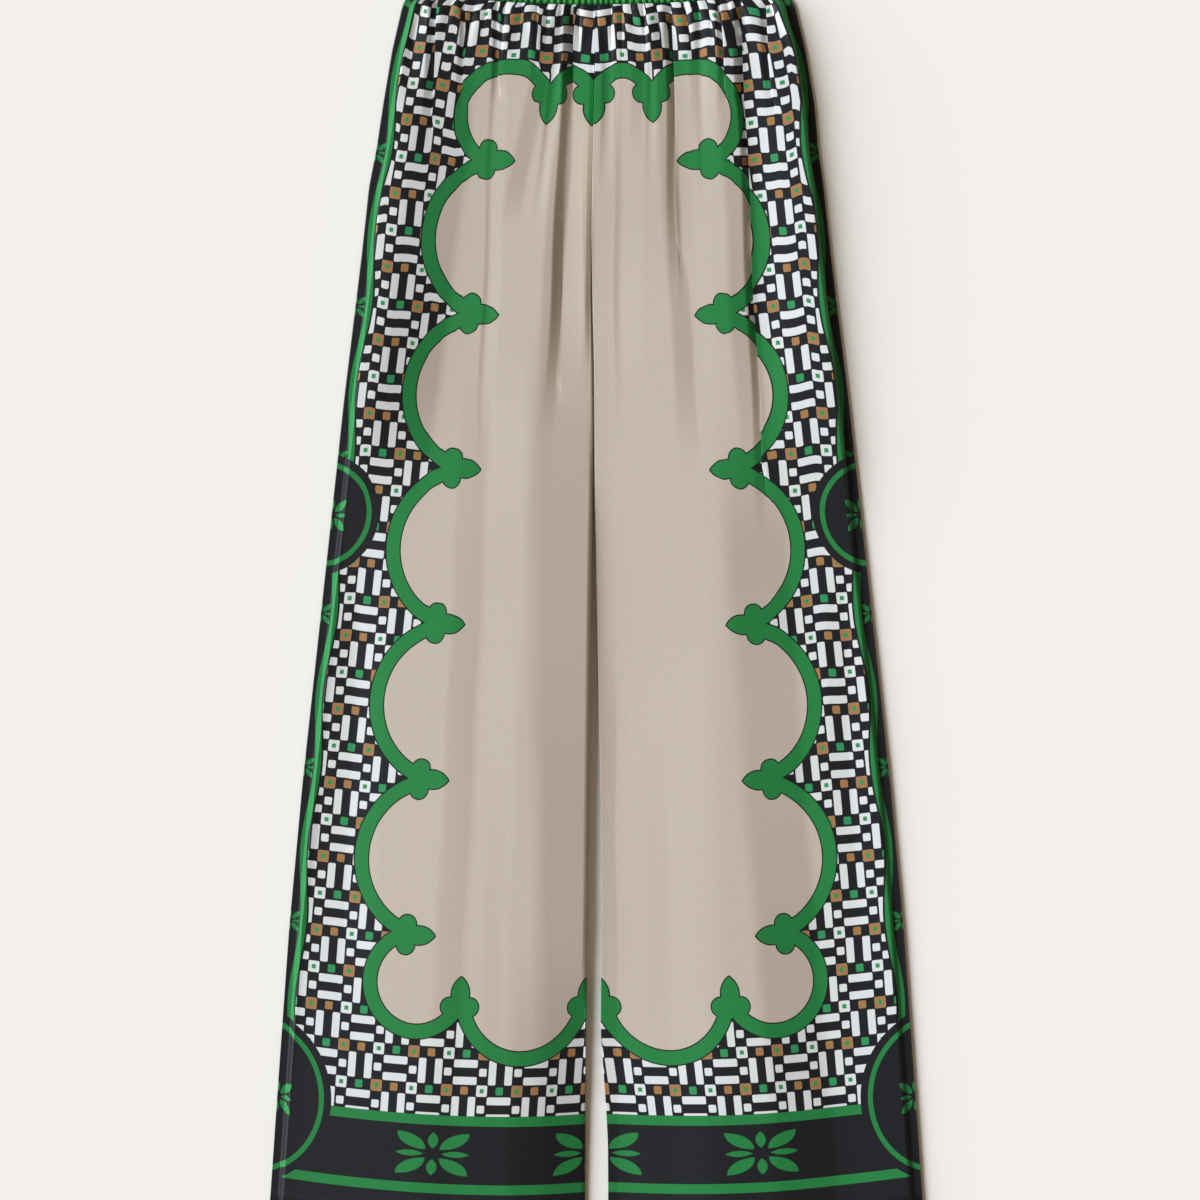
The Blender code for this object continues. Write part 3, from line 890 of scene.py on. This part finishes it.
def lay_tiles(paint, u, v):
    """A basket weave of bars, with squares where its blocks meet."""
    block_u, block_v = repeated(u, TILE_PITCH), repeated(v, TILE_PITCH)
    half = TILE_PITCH / 2
    gap_u, gap_v = repeated(u, TILE_PITCH, half), repeated(v, TILE_PITCH, half)
    turn = (every_other(u, TILE_PITCH, half) - every_other(v, TILE_PITCH, half)).node("ABSOLUTE")
    level = box(block_u, abs(block_v) - TILE_BAR_APART, *TILE_BAR, TILE_ROUND)
    upright = box(abs(block_u) - TILE_BAR_APART, block_v, *TILE_BAR[::-1], TILE_ROUND)
    bars = level + (upright - level) * turn
    above_dots = box(gap_u, block_v, TILE_DOT, TILE_DOT, TILE_ROUND)
    beside_dots = box(block_u, gap_v, TILE_DOT, TILE_DOT, TILE_ROUND)
    paint.lay(inside(larger(bars, above_dots)), WHITE)
    odd = (every_other(u, TILE_PITCH) - every_other(v, TILE_PITCH)).node("ABSOLUTE")
    next_odd = (every_other(u, TILE_PITCH, half) - every_other(v, TILE_PITCH)).node("ABSOLUTE")
    paint.lay(inside(beside_dots), TILE_GREEN)
    paint.lay(inside(beside_dots) * next_odd, TAN)
    squares = inside(box(gap_u, gap_v, TILE_SQUARE, TILE_SQUARE, TILE_ROUND))
    paint.lay(squares, WHITE)
    paint.lay(squares * odd, TAN)
    spots = inside(box(gap_u, gap_v, TILE_SPOT, TILE_SPOT, TILE_ROUND / 2))
    paint.lay(spots, TILE_GREEN)


def lay_frame(paint, u, v, from_hem):
    """The plain field of each leg in its scalloped frame."""
    rows = ((u, v, SIDE_SCALLOPS), (from_hem, u, HEM_SCALLOPS), (v, u, WAIST_SCALLOPS))
    across, down, radius = CORNER_ARC
    arcs = larger(
        -length(u - across, v - down) + radius,
        -length(u - across, from_hem - HEM_CORNER) + radius,
    )
    leaves = trefoils(*rows[0])
    core = u - SIDE_SCALLOPS.cusps
    arcs = larger(arcs, scallops(*rows[0]))
    for row in rows[1:]:
        arcs = larger(arcs, scallops(*row))
        leaves = larger(leaves, trefoils(*row))
        core = smaller(core, row[0] - row[2].cusps)
    outer = larger(arcs, core)
    inner = (arcs - FRAME_BAND).node("SMOOTH_MAX", core - CUSP_REACH, CUSP_ROUND)
    ground = smaller(inner, -leaves)
    paint.lay(inside(outer + OUTLINE), LINE)
    paint.lay(inside(outer), GREEN)
    paint.lay(inside(ground), LINE)
    paint.lay(inside(ground - OUTLINE), BEIGE)


def lay_strip(paint, u, v):
    """The dark strip at the side seam, with its waving line and its rosettes cut by the seam."""
    wave = ((v - SIDE_SCALLOPS.first) * (math.tau / SIDE_SCALLOPS.pitch)).node("COSINE") * STRIP_WAVE
    paint.lay(inside(wave - u + (STRIP_LINE[0] + STRIP_MARGIN)), DARK)
    paint.lay(inside(stripe(u - wave, *STRIP_LINE)), GREEN)
    from_cusp = repeated(v, SIDE_SCALLOPS.pitch, SIDE_SCALLOPS.first)
    paint.lay(inside(rosette(u, from_cusp, STRIP_ROSETTE)), GREEN)


def lay_hem(paint, u, from_hem):
    """The dark band above the hem, between two lines, with a row of rosettes."""
    paint.lay(inside(-from_hem + HEM_BAND), DARK)
    for middle, width in HEM_LINES:
        paint.lay(inside(stripe(from_hem, middle, width)), GREEN)
    height, size, pitch = HEM_ROSETTES
    aside = nearest(u, pitch, pitch, 2) * ROSETTE_STRETCH
    paint.lay(inside(rosette(aside, from_hem - height, size)), GREEN)


def lay_medallions(paint, u, v):
    """Half medallions, pointed above and below and cut by the side seam."""
    for middle, half_length, width in MEDALLIONS:
        depth = leaf(v - middle, u, half_length, width)
        paint.lay(inside(depth), DARK)
        paint.lay(inside(stripe(depth, *MEDALLION_RING)), GREEN)
        paint.lay(inside(rosette(u, v - middle, MEDALLION_ROSETTE)), GREEN)


def flat_place(tree):
    """The place in the flat cloth, in millimetres: from the side seam and from the waist seam."""
    place = tree.nodes.new("ShaderNodeUVMap")
    place.uv_map = "flat_cloth"
    parts = tree.nodes.new("ShaderNodeSeparateXYZ")
    tree.links.new(place.outputs["UV"], parts.inputs["Vector"])
    return Field(parts.outputs["X"]), Field(parts.outputs["Y"])


def shaded(paint, u, v):
    """Uneven dye: the colour times a fine noise that is drawn out down the cloth."""
    tree = paint.tree
    spot = tree.nodes.new("ShaderNodeCombineXYZ")
    tree.links.new(u.socket, spot.inputs["X"])
    tree.links.new((v * DYE_STRETCH).socket, spot.inputs["Y"])
    noise = tree.nodes.new("ShaderNodeTexNoise")
    noise.inputs["Scale"].default_value = DYE_SCALE
    noise.inputs["Detail"].default_value = DYE_DETAIL
    tree.links.new(spot.outputs["Vector"], noise.inputs["Vector"])
    dye = colour_mix(tree, "MULTIPLY")
    dye.inputs["Factor"].default_value = DYE_UNEVEN
    paint.fill(dye.inputs["A"], paint.colour)
    tree.links.new(noise.outputs["Fac"], dye.inputs["B"])
    return dye.outputs["Result"]


def new_material(name):
    """A material and its shader."""
    made = bpy.data.materials.new(name)
    made.use_nodes = True
    return made, made.node_tree.nodes["Principled BSDF"]


def silk(name, paint_on):
    """Silk twill. paint_on(tree, u, v) lays its colours."""
    made, shader = new_material(name)
    tree = made.node_tree
    u, v = flat_place(tree)
    paint = paint_on(tree, u, v)
    tree.links.new(shaded(paint, u, v), shader.inputs["Base Color"])
    shader.inputs["Roughness"].default_value = SILK_ROUGHNESS
    shader.inputs["Sheen Weight"].default_value = SHEEN
    shader.inputs["Sheen Roughness"].default_value = SHEEN_ROUGHNESS
    shader.inputs["Specular IOR Level"].default_value = SILK_SHINE
    twill = ((u + v) * (math.tau / TWILL_PITCH)).node("SINE")
    bump = tree.nodes.new("ShaderNodeBump")
    bump.inputs["Strength"].default_value = TWILL_BUMP
    bump.inputs["Distance"].default_value = TWILL_HEIGHT
    tree.links.new(twill.socket, bump.inputs["Height"])
    tree.links.new(bump.outputs["Normal"], shader.inputs["Normal"])
    return made


def printed(tree, u, v):
    """The print of a leg, from the tiles up."""
    from_hem = -v + PRINT_LENGTH
    paint = Paint(tree, DARK)
    lay_tiles(paint, u - STRIP_LINE[0], v)
    lay_frame(paint, u, v, from_hem)
    lay_strip(paint, u, v)
    lay_hem(paint, u, from_hem)
    lay_medallions(paint, u, v)
    return paint


def plain(tree, u, v):
    return Paint(tree, BAND_GREEN)


def thread_material():
    made, shader = new_material("thread")
    tree = made.node_tree
    noise = tree.nodes.new("ShaderNodeTexNoise")
    noise.inputs["Scale"].default_value = THREAD_SCALE
    tones = colour_mix(tree)
    for slot, tone in zip(("A", "B"), THREAD_TONES):
        tones.inputs[slot].default_value = (*[tone * c for c in THREAD], 1)
    tree.links.new(noise.outputs["Fac"], tones.inputs["Factor"])
    tree.links.new(tones.outputs["Result"], shader.inputs["Base Color"])
    shader.inputs["Roughness"].default_value = THREAD_ROUGHNESS
    return made


# --- the set --------------------------------------------------------------------------------------


def floor():
    bpy.ops.mesh.primitive_plane_add(size=FLOOR_SIZE, location=(0, 0, FLOOR_LEVEL))
    plane = bpy.context.object
    plane.name = "floor"
    made, shader = new_material("floor")
    shader.inputs["Base Color"].default_value = (*FLOOR, 1)
    shader.inputs["Roughness"].default_value = FLOOR_ROUGHNESS
    shader.inputs["Specular IOR Level"].default_value = FLOOR_SHINE
    plane.data.materials.append(made)


def lighting():
    """A large soft light from the left, and a dim warm one from all round."""
    light = bpy.data.lights.new("key", "SUN")
    light.energy = KEY_POWER
    light.angle = math.radians(KEY_SOFTNESS)
    light.color = KEY_COLOUR
    made = bpy.data.objects.new("key", light)
    made.rotation_euler = Vector(KEY_FROM).to_track_quat("Z", "Y").to_euler()
    bpy.context.scene.collection.objects.link(made)
    world = bpy.data.worlds.new("studio")
    bpy.context.scene.world = world
    world.use_nodes = True
    room = world.node_tree.nodes["Background"]
    room.inputs["Color"].default_value = (*ROOM_COLOUR, 1)
    room.inputs["Strength"].default_value = ROOM_POWER
    bpy.context.scene.view_settings.view_transform = "Standard"


def camera():
    """Straight above the pants, framed as the photograph: the waistband's top and the hems cut off."""
    middle_x = (PICTURE_PIXELS / 2 - PICTURE_MIDDLE[0]) * METRES_PER_PIXEL
    middle_y = (PICTURE_MIDDLE[1] - PICTURE_PIXELS / 2) * METRES_PER_PIXEL
    lens = bpy.data.cameras.new("camera")
    lens.sensor_width = SENSOR
    lens.lens = SENSOR * CAMERA_HEIGHT / (PICTURE_PIXELS * METRES_PER_PIXEL)
    made = bpy.data.objects.new("camera", lens)
    made.location = (middle_x, middle_y, CAMERA_HEIGHT)
    bpy.context.scene.collection.objects.link(made)
    bpy.context.scene.camera = made


# --- the pants ------------------------------------------------------------------------------------

print_silk = silk("printed_silk", printed)
plain_silk = silk("plain_silk", plain)
thread = thread_material()

for leg, side in ((RIGHT_LEG, "right"), (LEFT_LEG, "left")):
    panel = front_panel(leg)
    front = panel_cloth(f"front_{side}", panel, print_silk)
    back = panel_cloth(f"back_{side}", back_panel(leg), print_silk)
    stitches = hem_stitches(side, panel, thread)
waistband(plain_silk)

floor()
lighting()
camera()
